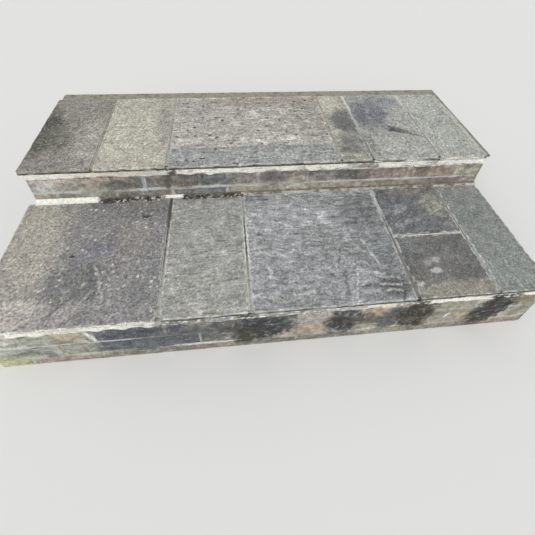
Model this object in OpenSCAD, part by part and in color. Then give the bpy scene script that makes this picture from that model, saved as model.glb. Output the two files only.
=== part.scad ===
// Two outdoor steps: riven sandstone flags on brick risers, made to be built into a corner.
// Millimetres. X runs right and Y runs back, to the two sides of that corner, and Z is up.
// The origin is in the middle of the steps' footprint, at their foot.

/* [Overall] */
// Width, from the lower tread's left edge to the right end
steps_w = 1924; // [1700:1:2400]
// Depth, from the lower tread's front edge to the back
steps_d = 1160; // [1000:1:1500]
// Going of the lower tread, from its front edge to the upper tread's front edge
lower_going = 552; // [450:1:700]
// Distance that the upper tread's left edge stands in from the lower tread's left edge
upper_inset = 17; // [12:0.5:60]

/* [Bricks] */
// Length of a brick
brick_l = 215; // [190:1:240]
// Width of a brick, which is the thickness of the walls
brick_w = 102.5; // [90:0.5:115]
// Height of a brick
brick_h = 65; // [50:0.5:80]
// Mortar joint between bricks
brick_joint = 10; // [6:0.5:14]
// Height of the lowest course, which is cut lower than the others
ground_course_h = 39; // [20:1:65]
// Depth that the brick joints are raked back
joint_recess = 3; // [1:0.5:6]

/* [Mortar] */
// Thickness of the mortar bed under the flags
bed_t = 37; // [15:1:50]
// Distance that the foot of the bed's edge stands back from the brick face
bed_recess = 2; // [0:0.5:6]
// Distance that the top of the bed's edge stands back from the flags' edge
bed_tuck = 3; // [0:0.5:4]
// Depth that the upper brickwork is sunk into the lower bed
upper_sink = 7; // [0:1:12]
// Mortar between the brickwork and the right end and the back of the steps
wall_joint = 10; // [6:0.5:16]
// Depth of the pointing at the right end of a riser
end_joint_d = 50; // [20:1:90]
// Height of the mortar fillet at the foot of the upper riser
fillet_h = 16; // [8:1:30]
// Width of that fillet on the lower tread
fillet_w = 18; // [13:1:35]

/* [Flags] */
// Thickness of a flag
flag_t = 18; // [15:1:40]
// Size of the worn edge round a flag's top
arris = 3; // [1:0.5:4]
// Most that a hand-cut edge wanders into its flag
edge_wander = 3; // [0.5:0.5:5]
// Distance between the turns of a hand-cut edge
edge_step = 60; // [30:1:120]
// Distance that the lower flags overhang the front riser
lower_nosing = 10; // [4:0.5:30]
// Distance that the lower flags overhang the left side wall
lower_side_nosing = 11.5; // [4:0.5:30]
// Distance that the upper flags overhang the upper riser
upper_nosing = 18; // [4:0.5:35]
// Distance that the upper flags overhang the upper left side wall
upper_side_nosing = 9.5; // [4:0.5:30]
// Joint between the lower flags
lower_flag_joint = 10; // [5:0.5:15]
// Wider joint on the right of the second lower flag
wide_joint = 14; // [6:0.5:20]
// Joint between the upper flags
upper_flag_joint = 7; // [4:0.5:12]
// Joint between the lower flags and the upper riser
riser_joint = 8; // [5:0.5:12]
// Depth of the joints' surface below the flags
pointing_recess = 2; // [1:0.5:6]
// Width of the mortar strip along the right end
side_strip_w = 30; // [15:1:60]
// Width of the mortar strip along the back
back_strip_w = 60; // [30:1:120]
// Depth of the strips' surface below the flags
strip_recess = 4; // [2:0.5:9]

/* [Lower tread layout] */
// First lower flag, from the left edge to the middle of its joint
lower_w_1 = 560; // [350:1:650]
// Second lower flag, between the middles of its joints
lower_w_2 = 294; // [200:1:400]
// Fourth and fifth lower flags, between the middles of their joints
lower_w_4 = 297; // [200:1:380]
// Sixth lower flag, from the middle of its joint to the right end
lower_w_6 = 203; // [120:1:260]
// Middle of the joint between the fourth and fifth flags, from the lower tread's front edge
lower_cross_y = 282; // [150:1:400]

/* [Upper tread layout] */
// First upper flag, from the left edge to the middle of its joint
upper_w_1 = 267; // [150:1:350]
// Second upper flag, between the middles of its joints
upper_w_2 = 280; // [180:1:350]
// Fourth upper flag, between the middles of its joints
upper_w_4 = 135; // [90:1:220]
// Fifth upper flag, between the middles of its joints
upper_w_5 = 290; // [180:1:360]
// Sixth upper flag, from the middle of its joint to the side strip
upper_w_6 = 205; // [120:1:260]

/* [Hidden] */
FLAGS = [1:6];

// Colours of the materials
brick_colour = [0.52, 0.42, 0.35];
mortar_colour = [0.78, 0.75, 0.66];
fill_colour = [0.55, 0.54, 0.51];
lower_flag_colours = [[0.38, 0.35, 0.35], [0.55, 0.54, 0.49], [0.45, 0.47, 0.47],
                      [0.36, 0.37, 0.35], [0.37, 0.36, 0.34], [0.53, 0.56, 0.51]];
upper_flag_colours = [[0.42, 0.40, 0.37], [0.58, 0.57, 0.49], [0.57, 0.53, 0.49],
                      [0.53, 0.52, 0.44], [0.46, 0.48, 0.49], [0.58, 0.58, 0.54]];

// Tread edges, and the planes of the right end and the back
x_left = -steps_w / 2;
x_wall = steps_w / 2;
y_front = -steps_d / 2;
y_wall = steps_d / 2;
upper_x_left = x_left + upper_inset;
upper_y_front = y_front + lower_going;

// Outer faces of the brickwork
brick_x_right = x_wall - wall_joint;
brick_y_back = y_wall - wall_joint;
lower_face_x = x_left + lower_side_nosing;
lower_face_y = y_front + lower_nosing;
upper_face_x = upper_x_left + upper_side_nosing;
upper_face_y = upper_y_front + upper_nosing;

// Levels, from the foot up
course_pitch = brick_h + brick_joint;
lower_h = [ground_course_h, brick_h, brick_h];
lower_z = [0, ground_course_h + brick_joint, ground_course_h + brick_joint + course_pitch];
lower_bed_z = lower_z[2] + brick_h;
lower_flag_z = lower_bed_z + bed_t;
lower_tread_z = lower_flag_z + flag_t;
upper_z = [lower_flag_z - upper_sink, lower_flag_z - upper_sink + course_pitch];
upper_bed_z = upper_z[1] + brick_h;
upper_flag_z = upper_bed_z + bed_t;

// Brick bond: a course has a whole brick or a header at its reference end
brick_pitch = brick_l + brick_joint;
STRETCHER = 0;
HEADER = 1;
lower_bond = [STRETCHER, HEADER, STRETCHER];
upper_bond = [STRETCHER, HEADER];
least_piece = brick_w / 2;
cut = 1;

// Upright lip at the foot and at the top of a bed's splayed sides
bed_lip = 3;

// Reach of the pointing under the wandering edges, and its set-back from the tread's edge
seat = edge_wander + 2;
pointing_inset = 8;

function first_joint(bond) = (bond == STRETCHER ? brick_l : brick_w) + brick_joint / 2;

// How far a side's corner brick runs past the front course, in a course of that bond
function left_corner(bond) = bond == STRETCHER ? brick_l - brick_w : 0;
function right_corner(bond) = bond == HEADER ? brick_l - brick_w : 0;

// Each flag as [left, front, right, back], worked out from the joints' middles
// The third flag of each tread takes up the width that the others leave
lower_j = [x_left + lower_w_1, x_left + lower_w_1 + lower_w_2,
           x_wall - lower_w_6 - lower_w_4, x_wall - lower_w_6];
lower_half = lower_flag_joint / 2;
lower_back_y = upper_face_y - riser_joint;
lower_cross = y_front + lower_cross_y;
lower_flags = [
    [x_left, y_front, lower_j[0] - lower_half, lower_back_y],
    [lower_j[0] + lower_half, y_front, lower_j[1] - wide_joint / 2, lower_back_y],
    [lower_j[1] + wide_joint / 2, y_front, lower_j[2] - lower_half, lower_back_y],
    [lower_j[2] + lower_half, lower_cross + lower_half, lower_j[3] - lower_half, lower_back_y],
    [lower_j[2] + lower_half, y_front, lower_j[3] - lower_half, lower_cross - lower_half],
    [lower_j[3] + lower_half, y_front, x_wall, lower_back_y]];

upper_x_right = x_wall - side_strip_w;
upper_j = [upper_x_left, upper_x_left + upper_w_1, upper_x_left + upper_w_1 + upper_w_2,
           upper_x_right - upper_w_6 - upper_w_5 - upper_w_4,
           upper_x_right - upper_w_6 - upper_w_5, upper_x_right - upper_w_6, upper_x_right];
upper_back_y = y_wall - back_strip_w;
upper_flags = [for (i = [0:5]) [
    upper_j[i] + (i == 0 ? 0 : upper_flag_joint / 2), upper_y_front,
    upper_j[i + 1] - (i == 5 ? 0 : upper_flag_joint / 2), upper_back_y]];

// One hand-cut side from a towards b: it wanders inwards, and touches its line at one turn or more
function wander(n, seed) = let (r = rands(0, edge_wander, n, seed)) [for (v = r) v - min(r)];
function hand_cut(a, b, seed, inset) =
    let (n = max(2, round(norm(b - a) / edge_step)), along = (b - a) / n,
         inward = [-along.y, along.x] / norm(along), w = wander(n - 1, seed))
    [for (i = [1:n - 1]) a + along * i + inward * (w[i - 1] + inset)];

// A flag's outline, anticlockwise from its front left corner, with knocked corners
function outline(r, seed, inset) =
    let (p = [[r[0], r[1]], [r[2], r[1]], [r[2], r[3]], [r[0], r[3]]],
         into = [[1, 1], [-1, 1], [-1, -1], [1, -1]], knock = rands(0.5, edge_wander, 4, seed))
    [for (k = [0:3]) each concat([p[k] + into[k] * (knock[k] + inset)],
                                 hand_cut(p[k], p[(k + 1) % 4], seed + k + 1, inset))];

function lower_seed(i) = 10 * i;
function upper_seed(i) = 100 + 10 * i;

module flag_footprint(r, seed) polygon(outline(r, seed, 0));

// A flag: upright hand-cut sides with a worn edge, between a sawn-flat underside and top
module flag(r, seed, z) {
    foot = outline(r, seed, 0);
    top = outline(r, seed, arris + cut);
    n = len(foot);
    points = concat(
        [for (q = foot) [q.x, q.y, z - cut]],
        [for (q = foot) [q.x, q.y, z + flag_t - arris]],
        [for (q = top) [q.x, q.y, z + flag_t + cut]]);
    faces = concat(
        [[for (i = [0:n - 1]) i]],
        [for (k = [0, n]) for (i = [0:n - 1]) [k + i, k + n + i, k + n + (i + 1) % n, k + (i + 1) % n]],
        [[for (i = [n - 1:-1:0]) 2 * n + i]]);
    intersection() {
        polyhedron(points, faces);
        box(r[0] - cut, r[1] - cut, r[2] + cut, r[3] + cut, z, z + flag_t);
    }
}

// A course of bricks along X with its face at Y = 0, upright joints raked into that face
module course(length, height, first) {
    difference() {
        cube([length, brick_w, height]);
        for (x = [first : brick_pitch : length - least_piece])
            translate([x - brick_joint / 2, -cut, -cut])
                cube([brick_joint, joint_recess + cut, height + 2 * cut]);
    }
}

// A side course between the front and back courses. Its corner bricks run in from both ends,
// and between them lie whole bricks, or cut ones where whole ones don't fit, with even joints.
module side_course(length, height, corner) {
    lead = max(0, min(corner, (length - least_piece) / 2 - brick_joint));
    room = length - 2 * lead;
    count = max(1, round((room - brick_joint) / brick_pitch));
    piece = min(brick_l, (room - brick_joint) / count - brick_joint);
    gap = (room - count * piece) / (count + 1);
    difference() {
        cube([length, brick_w, height]);
        for (i = [0 : count])
            translate([lead + i * (piece + gap), -cut, -cut])
                cube([gap, joint_recess + cut, height + 2 * cut]);
    }
}

module front_course(face_x, face_y, z, height, bond)
    translate([brick_x_right, face_y, z]) mirror([1, 0, 0])
        course(brick_x_right - face_x, height, first_joint(bond));

module back_course(face_x, z, height, bond)
    translate([brick_x_right, brick_y_back, z]) rotate([0, 0, 180])
        course(brick_x_right - face_x, height, first_joint(bond));

module left_course(face_x, face_y, z, height, bond)
    translate([face_x, face_y + brick_w, z]) rotate([0, 0, 90]) mirror([0, 1, 0])
        side_course(brick_y_back - face_y - 2 * brick_w, height, left_corner(bond));

module right_course(face_y, z, height, bond)
    translate([brick_x_right, face_y + brick_w, z]) rotate([0, 0, 90])
        side_course(brick_y_back - face_y - 2 * brick_w, height, right_corner(bond));

// The mortar joint between two courses, as a ring round the fill
module joint_ring(face_x, face_y, z) {
    difference() {
        box(face_x + joint_recess, face_y + joint_recess, brick_x_right - joint_recess,
            brick_y_back - joint_recess, z, z + brick_joint);
        box(face_x + brick_w, face_y + brick_w, brick_x_right - brick_w,
            brick_y_back - brick_w, z - cut, z + brick_joint + cut);
    }
}

module box(x0, y0, x1, y1, z0, z1) translate([x0, y0, z0]) cube([x1 - x0, y1 - y0, z1 - z0]);

// A mortar bed whose front and left sides splay from the brickwork out to the flags' edge
module splayed_bed(face_x, face_y, edge_x, edge_y, z) hull() {
    box(face_x + bed_recess, face_y + bed_recess, brick_x_right, brick_y_back, z, z + bed_lip);
    box(edge_x + bed_tuck, edge_y + bed_tuck, brick_x_right, brick_y_back,
        z + bed_t - bed_lip, z + bed_t);
}

module area(x0, y0, x1, y1) translate([x0, y0]) square([x1 - x0, y1 - y0]);

module lower_footprints() for (i = [0:5]) flag_footprint(lower_flags[i], lower_seed(i));

module upper_footprints() for (i = [0:5]) flag_footprint(upper_flags[i], upper_seed(i));

module lower_front_course(k) color(brick_colour)
    front_course(lower_face_x, lower_face_y, lower_z[k], lower_h[k], lower_bond[k]);

module lower_left_courses() color(brick_colour) for (k = [0:2])
    left_course(lower_face_x, lower_face_y, lower_z[k], lower_h[k], lower_bond[k]);

module lower_right_courses() color(brick_colour) for (k = [0:2])
    right_course(lower_face_y, lower_z[k], lower_h[k], lower_bond[k]);

module lower_back_courses() color(brick_colour) for (k = [0:2])
    back_course(lower_face_x, lower_z[k], lower_h[k], lower_bond[k]);

module lower_joint(k) color(mortar_colour)
    joint_ring(lower_face_x, lower_face_y, lower_z[k] - brick_joint);

module lower_core() color(fill_colour)
    box(lower_face_x + brick_w, lower_face_y + brick_w, brick_x_right - brick_w,
        brick_y_back - brick_w, 0, lower_bed_z);

module lower_bed() color(mortar_colour) difference() {
    splayed_bed(lower_face_x, lower_face_y, x_left, y_front, lower_bed_z);
    box(upper_face_x, upper_face_y, brick_x_right + cut, brick_y_back + cut,
        upper_z[0], lower_flag_z + cut);
}

module lower_flag(i) color(lower_flag_colours[i])
    flag(lower_flags[i], lower_seed(i), lower_flag_z);

// Joints between the lower flags, and the joint along the foot of the upper riser
module lower_pointing() color(mortar_colour) translate([0, 0, lower_flag_z])
    linear_extrude(flag_t - pointing_recess) difference() {
        union() {
            area(lower_j[0] - lower_w_1 / 2, y_front + pointing_inset,
                 lower_j[3] + lower_flag_joint + seat, lower_back_y);
            area(upper_face_x, lower_back_y - seat, x_wall, upper_face_y);
        }
        lower_footprints();
    }

module lower_end_joint() color(mortar_colour)
    box(brick_x_right, lower_face_y + joint_recess, x_wall,
        lower_face_y + joint_recess + end_joint_d, 0, lower_flag_z);

module upper_front_course(k) color(brick_colour)
    front_course(upper_face_x, upper_face_y, upper_z[k], brick_h, upper_bond[k]);

module upper_left_courses() color(brick_colour) for (k = [0:1])
    left_course(upper_face_x, upper_face_y, upper_z[k], brick_h, upper_bond[k]);

module upper_right_courses() color(brick_colour) for (k = [0:1])
    right_course(upper_face_y, upper_z[k], brick_h, upper_bond[k]);

module upper_back_courses() color(brick_colour) for (k = [0:1])
    back_course(upper_face_x, upper_z[k], brick_h, upper_bond[k]);

module upper_joint() color(mortar_colour)
    joint_ring(upper_face_x, upper_face_y, upper_z[1] - brick_joint);

module upper_core() color(fill_colour)
    box(upper_face_x + brick_w, upper_face_y + brick_w, brick_x_right - brick_w,
        brick_y_back - brick_w, upper_z[0], upper_bed_z);

module upper_bed() color(mortar_colour)
    splayed_bed(upper_face_x, upper_face_y, upper_x_left, upper_y_front, upper_bed_z);

module upper_flag(i) color(upper_flag_colours[i])
    flag(upper_flags[i], upper_seed(i), upper_flag_z);

module upper_pointing() color(mortar_colour) translate([0, 0, upper_flag_z])
    linear_extrude(flag_t - pointing_recess) difference() {
        area(upper_j[1] - upper_w_1 / 2, upper_y_front + pointing_inset,
             upper_j[5] + upper_flag_joint + seat, upper_back_y - seat);
        upper_footprints();
    }

module side_strip() color(mortar_colour) translate([0, 0, upper_flag_z])
    linear_extrude(flag_t - strip_recess) difference() {
        area(x_wall - side_strip_w - seat, upper_y_front + pointing_inset, x_wall,
             upper_back_y - seat);
        upper_footprints();
    }

module back_strip() color(mortar_colour) translate([0, 0, upper_flag_z])
    linear_extrude(flag_t - strip_recess) difference() {
        area(upper_face_x, upper_back_y - seat, x_wall, y_wall);
        upper_footprints();
    }

module upper_end_joint() color(mortar_colour)
    box(brick_x_right, upper_face_y + joint_recess, x_wall,
        upper_face_y + joint_recess + end_joint_d, lower_flag_z, upper_flag_z);

// A hollow fillet trowelled into the corner of the lower tread and the upper riser
fillet_steps = 6;
module riser_fillet() color(mortar_colour)
    translate([upper_face_x, upper_face_y, lower_tread_z]) rotate([90, 0, 90])
        linear_extrude(x_wall - upper_face_x)
            polygon(concat(
                [for (k = [0:fillet_steps]) let (a = 90 * k / fillet_steps)
                    [fillet_w * (sin(a) - 1), fillet_h * (1 - cos(a))]],
                [[0, -pointing_recess], [-riser_joint, -pointing_recess], [-riser_joint, 0]]));

lower_front_course(0);  // lower_front_course_1
lower_front_course(1);  // lower_front_course_2
lower_front_course(2);  // lower_front_course_3
lower_left_courses();
lower_right_courses();
lower_back_courses();
lower_joint(1);  // lower_joint_1
lower_joint(2);  // lower_joint_2
lower_core();
lower_bed();
for (i = FLAGS) lower_flag(i - 1);
lower_pointing();
lower_end_joint();
upper_front_course(0);  // upper_front_course_1
upper_front_course(1);  // upper_front_course_2
upper_left_courses();
upper_right_courses();
upper_back_courses();
upper_joint();
upper_core();
upper_bed();
for (i = FLAGS) upper_flag(i - 1);
upper_pointing();
side_strip();
back_strip();
upper_end_joint();
riser_fillet();
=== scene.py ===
"""The finish of two outdoor steps: riven sandstone flags on brick risers, for building into a corner.

Lengths are in millimetres until a mesh is made. X runs right, Y runs back and Z is up, as in the frame.
"""

import itertools
import math

import bpy
import numpy as np
from mathutils import Matrix, Vector


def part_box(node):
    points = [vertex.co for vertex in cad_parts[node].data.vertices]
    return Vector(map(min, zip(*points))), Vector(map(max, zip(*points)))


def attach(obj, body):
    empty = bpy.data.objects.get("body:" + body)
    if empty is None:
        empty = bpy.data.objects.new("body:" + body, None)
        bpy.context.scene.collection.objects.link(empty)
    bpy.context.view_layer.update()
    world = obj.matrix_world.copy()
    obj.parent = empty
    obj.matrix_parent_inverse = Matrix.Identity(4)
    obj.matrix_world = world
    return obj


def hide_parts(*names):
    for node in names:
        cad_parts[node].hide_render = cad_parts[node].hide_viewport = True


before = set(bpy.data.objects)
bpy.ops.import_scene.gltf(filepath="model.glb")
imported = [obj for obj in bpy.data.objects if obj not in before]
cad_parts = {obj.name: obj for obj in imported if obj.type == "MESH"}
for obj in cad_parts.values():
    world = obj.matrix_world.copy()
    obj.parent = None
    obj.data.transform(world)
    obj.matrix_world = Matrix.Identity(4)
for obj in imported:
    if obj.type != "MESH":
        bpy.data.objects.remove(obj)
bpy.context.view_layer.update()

# Brickwork. A bond is the length of the first brick, at the right end, of each front course from the foot up.
BRICK_LENGTH = 215
BRICK_WIDTH = 102.5
BRICK_JOINT = 10
LOWER_BOND = (BRICK_LENGTH, BRICK_WIDTH, BRICK_LENGTH)
UPPER_BOND = (BRICK_LENGTH, BRICK_WIDTH)
BRICK_ARRIS = 1.8
BRICK_DEEPEST = 3.2
FRONT_STEP = 4.2
OTHER_STEP = 6
HIDDEN_STEP = 40

# Flags
FLAG_STEP = 3.6
EDGE_TICKS = (0, 0.7, 1.6, 2.8, 4.4, 6.8, 10)
EDGE_WANDER = 3.4
EDGE_REACH = 45
SIDE_ROWS = (0.2, 0.4, 0.7, 1)

# Camera, worked out from the courses of bricks: its place in metres, then its turns in degrees
CAMERA_PLACE = (-0.1564, -1.1964, 1.3200)
CAMERA_YAW = 9.012
CAMERA_PITCH = 43.283
CAMERA_ROLL = -3.506
CAMERA_LENS = 25.015
CAMERA_SENSOR = 36
CAMERA_SHIFT = (-0.0114, -0.1245)


# Random values that are the same on every run


def lattice(cells, seed):
    """A random value from 0 to 1 for each row of whole numbers."""
    value = np.full(len(cells), seed * 2654435761 % 2**31, np.int64)
    for axis, prime in enumerate((73856093, 19349663, 83492791)[: cells.shape[1]]):
        value = value ^ (cells[:, axis] * prime)
    for factor in (1274126177, 2246822519):
        value = (value ^ (value >> 15)) * factor & 0xFFFFFFFF
    return ((value ^ (value >> 13)) & 0xFFFFFF) / 0xFFFFFF


def noise(points, size, seed):
    """Smooth noise, mostly from -1 to 1, whose waves are about size long."""
    place = points / size
    cells = np.floor(place).astype(np.int64)
    part = place - cells
    ease = part * part * part * (part * (part * 6 - 15) + 10)
    axes = range(points.shape[1])
    total = np.zeros(len(points))
    for corner in itertools.product((0, 1), repeat=points.shape[1]):
        near = cells + np.array(corner)
        weight = np.prod([ease[:, a] if corner[a] else 1 - ease[:, a] for a in axes], axis=0)
        slope = sum((lattice(near, seed + 17 * a) - 0.5) * (place[:, a] - near[:, a]) for a in axes)
        total += weight * slope
    return total * 3.4


def layers(points, size, seed, count):
    """Noise with finer and finer waves laid over each other."""
    size = np.asarray(size, float)
    return sum(noise(points, size / 2**k, seed + 101 * k) / 2**k for k in range(count)) / 1.5


def wander(points, across, along, seed):
    """How far each point of the plane is led astray: noise of its own on each axis."""
    return np.stack([noise(points, across, seed), noise(points, along, seed + 1)], axis=1)


def smooth(start, end, value):
    """0 before start and 1 after end, with an eased turn between them."""
    t = np.clip((value - start) / (end - start), 0, 1)
    return t * t * (3 - 2 * t)


def turned(points, degrees=0):
    """Points in the plane, seen from axes turned by that angle."""
    c, s = math.cos(math.radians(degrees)), math.sin(math.radians(degrees))
    return points @ np.array([[c, -s], [s, c]])


def beside(along, across):
    """Points in the plane at places along a line that lies that far across."""
    return np.stack([along, np.full(len(along), across)], axis=1)


def line_distance(plane, line):
    """How far each point of the plane lies from a broken line."""
    nearest = np.full(len(plane), 1e9)
    for a, b in zip(np.array(line[:-1], float), np.array(line[1:], float)):
        t = np.clip((plane - a) @ (b - a) / ((b - a) @ (b - a)), 0, 1)
        nearest = np.minimum(nearest, np.linalg.norm(plane - a - t[:, None] * (b - a), axis=1))
    return nearest


# Tones


def plain(tone, points):
    """The same tone at each point."""
    return np.broadcast_to(tone, (len(points), 3))


def mix(tones, colour, amount):
    """Tones moved towards a colour by an amount from 0 to 1 at each point."""
    return tones + (np.asarray(colour) - tones) * np.asarray(amount)[:, None]


def patchy(tones, points, colour, strength, start, end, size, seed, count):
    """Tones with a colour laid on in patches: from start to end of layered noise."""
    return mix(tones, colour, strength * smooth(start, end, layers(points, size, seed, count)))


def stained(tones, plane, stains, seed, wave=70, soft=(1.3, 0.55)):
    """Lays stains, and a few painted shadows, with uneven edges over the tones.

    A stain is its centre, half-lengths, colour and strength, and its turn where it has one.
    """
    wobble = np.stack([layers(plane, wave, seed + k, 3) for k in (1, 2)], axis=1)
    fringe = 0.3 * layers(plane, 15, seed + 3, 2)
    uneven = np.clip(1 + 0.5 * layers(plane, wave * 0.7, seed + 4, 3), 0.35, 1)
    for x, y, half_x, half_y, colour, strength, *turn in stains:
        reach = min(22, 0.45 * min(half_x, half_y))
        away = turned(plane + wobble * reach - (x, y), *turn) / (half_x, half_y)
        tones = mix(tones, colour, strength * uneven * smooth(*soft, np.linalg.norm(away, axis=1) + fringe))
    return tones


def scattered(plane, cell, radius, share, seed):
    """Small round spots, at most one in each square cell: how much of each point they cover."""
    own = np.floor(plane / cell).astype(np.int64)
    covered = np.zeros(len(plane))
    for near in itertools.product((-1, 0, 1), repeat=2):
        home = own + np.array(near)
        across, along, size, drawn = (lattice(home, seed + 11 * k) for k in range(4))
        centre = (home + 0.15 + 0.7 * np.stack([across, along], axis=1)) * cell
        reach = radius * (0.35 + 0.65 * size) * (drawn < share)
        away = np.linalg.norm(plane - centre, axis=1)
        covered = np.maximum(covered, smooth(0, 0.6, 1 - away / np.maximum(reach, 1e-3)))
    return covered


# Meshes

DARKEST = 0.004
LIGHTEST = 0.95


class Form:
    """The points, faces and tones of a piece that is being put together."""

    def __init__(self):
        self.points, self.faces, self.tones, self.hollows = [], [], [], []
        self.count = 0

    def add(self, points, faces, tones, hollow=0):
        """Adds points and faces, with one tone for all or one for each, and how hollow they lie."""
        self.points.append(points)
        self.faces += [[i + self.count for i in face] for face in faces]
        self.tones.append(plain(tones, points))
        self.hollows.append(np.broadcast_to(hollow, len(points)))
        self.count += len(points)
        return self

    def piece(self, name, look, *nodes):
        """Makes the object, in metres, with a look's material, for the CAD nodes it replaces."""
        mesh = bpy.data.meshes.new(name)
        mesh.from_pydata((np.concatenate(self.points) / 1000).tolist(), [], self.faces)
        tones = np.ones((self.count, 4), np.float32)
        tones[:, :3] = np.clip(np.concatenate(self.tones), DARKEST, LIGHTEST)
        mesh.attributes.new("tone", "FLOAT_COLOR", "POINT").data.foreach_set("color", tones.ravel())
        hollows = np.concatenate(self.hollows).astype(np.float32)
        mesh.attributes.new("hollow", "FLOAT", "POINT").data.foreach_set("value", hollows)
        mesh.shade_smooth()
        material, slot = look
        mesh.materials.append(material)
        piece = bpy.data.objects.new(name, mesh)
        bpy.context.scene.collection.objects.link(piece)
        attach(piece, "root")
        if nodes:
            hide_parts(*nodes)


def span(node):
    """The lowest and highest corner of a CAD node, in millimetres."""
    low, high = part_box(node)
    return np.array(low) * 1000, np.array(high) * 1000


def ticks(start, end, step, edge=(0,)):
    """Places from start to end, step apart, with the edge's own places at both ends."""
    edge = np.array(edge, float)
    edge = edge[edge < (end - start) * 0.4]
    inner_start, inner_end = start + edge[-1], end - edge[-1]
    count = max(1, round((inner_end - inner_start) / step))
    inner = np.linspace(inner_start, inner_end, count + 1)
    return np.concatenate([start + edge[:-1], inner, (end - edge[:-1])[::-1]])


def quads(grid, *closed):
    """Faces between the points of a grid of numbers, whose closed axes join their end to their start."""
    for axis in closed:
        grid = np.concatenate([grid, np.take(grid, [0], axis)], axis)
    return np.stack([grid[:-1, :-1], grid[1:, :-1], grid[1:, 1:], grid[:-1, 1:]], axis=-1).reshape(-1, 4)


def rim_of(grid):
    """The numbers round the rim of a grid, in order."""
    return np.concatenate([grid[:-1, 0], grid[-1, :-1], grid[:0:-1, -1], grid[0, :0:-1]])


def fan(loop, hub):
    """Triangles from a closed line of points to one in its middle."""
    return np.stack([loop, np.roll(loop, -1), np.full(len(loop), hub)], axis=-1)


# The sides of a block, each as its axis and its end
FRONT, BACK = (1, 0), (1, -1)
LEFT, RIGHT = (0, 0), (0, -1)
FOOT, TOP = (2, 0), (2, -1)
SIDES = (FRONT, BACK, LEFT, RIGHT, FOOT, TOP)


def box_surface(marks, shown):
    """Points and faces of a closed box, divided at the marks of its three axes.

    The sides that are shown have a grid of faces, and each other side is closed by a fan.
    """
    shell = np.zeros([len(places) for places in marks], bool)
    for axis, end in SIDES:
        sheet = np.moveaxis(shell, axis, 0)[end]
        if (axis, end) in shown:
            sheet[:] = True
        else:
            sheet[[0, -1]] = True
            sheet[:, [0, -1]] = True
    index = np.zeros(shell.shape, int)
    index[shell] = np.arange(shell.sum())
    points = np.stack(np.meshgrid(*marks, indexing="ij"), axis=-1)[shell]
    middles, faces = [], []
    for axis, end in SIDES:
        sheet = np.moveaxis(index, axis, 0)[end]
        if (axis, end) in shown:
            made = quads(sheet)
        else:
            made = fan(rim_of(sheet), len(points) + len(middles))
            middle = [(places[0] + places[-1]) / 2 for places in marks]
            middle[axis] = marks[axis][end]
            middles.append(middle)
        outward = (end == -1) == (axis != 1)
        faces += (made if outward else made[:, ::-1]).tolist()
    return np.concatenate([points, np.array(middles).reshape(-1, 3)]), faces


def roughness(points, rough, seed, deepest):
    """How deep a rough surface lies at each point. rough is a list of (depth, size) pairs."""
    depth = np.zeros(len(points))
    for k, (most, size) in enumerate(rough):
        depth += most * (0.5 + 0.5 * noise(points, size, seed + 7 * k))
    return np.clip(depth, 0, deepest)


def block(low, high, step, arris, rough, seed, deepest=None, shown=SIDES):
    """Points and faces of a closed block with rounded edges, which is roughened inwards where it is shown."""
    low, high = np.array(low, float), np.array(high, float)
    step = np.broadcast_to(step, 3)
    points, faces = box_surface([ticks(low[a], high[a], step[a], (0, arris)) for a in range(3)], shown)
    core = np.clip(points, low + arris, high - arris)
    out = points - core
    normal = out / np.maximum(np.linalg.norm(out, axis=1), 1e-9)[:, None]
    points = core + normal * np.abs(out).max(axis=1)[:, None]
    return points - normal * roughness(points, rough, seed, deepest or arris * 1.4)[:, None], faces


def ring(low, high, heights, arris, width, steps, rough, seed, deepest):
    """Points and faces of a closed ring round an upright block, roughened inwards.

    heights are the rows of its outer face, width is how far it reaches in, and steps are the lengths
    of its faces along the front, right, back and left.
    """
    inward = np.array([(1, 1), (-1, 1), (-1, -1), (1, -1)], float)
    corners = np.concatenate([np.where(inward > 0, low[:2], high[:2]), inward], axis=1)
    line = []
    for here, ahead, step in zip(corners, np.roll(corners, -1, axis=0), steps):
        count = round(np.linalg.norm(ahead[:2] - here[:2]) / step)
        share = (np.arange(count) / count)[:, None]
        line.append(here * (1 - share) + ahead * share)
    line, turn = np.split(np.concatenate(line), 2, axis=1)

    # Each point of the cross-section: how far in, how high, and which way the roughness moves it
    foot, top, bevel = heights[0] - arris, heights[-1] + arris, 0.3 * arris
    section = [(bevel, foot + bevel, 0.7, -0.7), *((0, height, 1, 0) for height in heights)]
    section += [(bevel, top - bevel, 0.7, 0.7), (arris, top, 0, 1), (arris + 8, top, 0, 1)]
    section += [(width, top, 0, 0), (width, foot, 0, 0), (arris, foot, 0, 0)]
    inset, height, across, up = np.array(section).T
    shape = (len(line), len(section))
    flat = line[:, None] + turn[:, None] * inset[:, None]
    points = np.concatenate([flat, np.broadcast_to(height, shape)[..., None]], axis=-1)
    depth = roughness(points.reshape(-1, 3), rough, seed, deepest).reshape(shape)
    points[..., :2] += turn[:, None] * (depth * across)[..., None]
    points[..., 2] -= depth * up
    return points.reshape(-1, 3), quads(np.arange(depth.size).reshape(shape), 0, 1).tolist()


# Materials

TAN = (0.40, 0.36, 0.28, 1)
LICHEN = (0.64, 0.63, 0.58, 1)
PALE_CRUST = (0.56, 0.56, 0.52, 1)
BROWN_DIRT = (0.16, 0.145, 0.105, 1)
# Near black: the pores, and the painted shade in holes
PORE_AND_HOLE_SHADE = (0.05, 0.047, 0.04, 1)
FILL_DARK = (0.34, 0.33, 0.30, 1)
FILL_PALE = (0.52, 0.50, 0.45, 1)


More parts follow.
